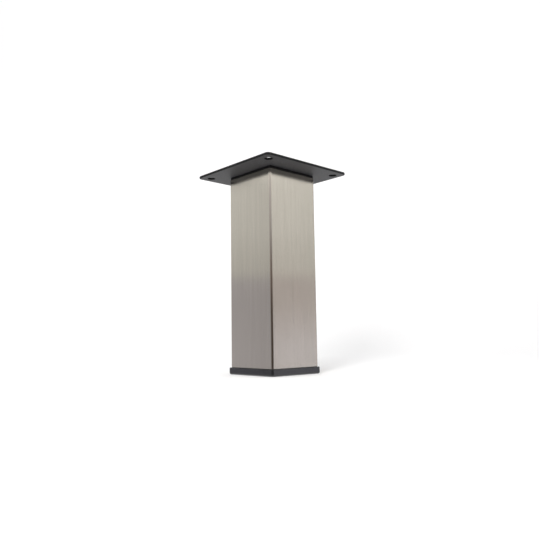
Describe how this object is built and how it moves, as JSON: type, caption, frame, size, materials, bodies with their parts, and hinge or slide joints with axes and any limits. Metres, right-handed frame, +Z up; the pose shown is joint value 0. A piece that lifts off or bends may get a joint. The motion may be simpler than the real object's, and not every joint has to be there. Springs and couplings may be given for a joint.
{
  "type": "square metal table leg",
  "caption": "Short square tube leg with a black screw-on mounting plate on top and a black push-in foot below, for the underside of a table or cabinet.",
  "frame": {"origin": "on the floor, at the middle of the foot's underside", "axes": "+Z up along the tube to the mounting plate, +X and +Y square to the tube's sides"},
  "size_m": [0.088, 0.088, 0.165],
  "materials": {
    "black_powder_coat": "satin powder coat with a fine grain",
    "brushed_nickel": "brushed along the tube, satin nickel plate",
    "black_moulded_plastic": "moulded, slightly grained satin",
    "zinc_plated_steel": "bright zinc plate"
  },
  "bodies": {
    "root": {"mounting_plate": "black_powder_coat", "leg_tube": "brushed_nickel", "foot_cap": "black_moulded_plastic", "top_plug": "black_moulded_plastic", "clamp_screw": "zinc_plated_steel", "clamp_nut": "zinc_plated_steel"}
  },
  "joints": []
}
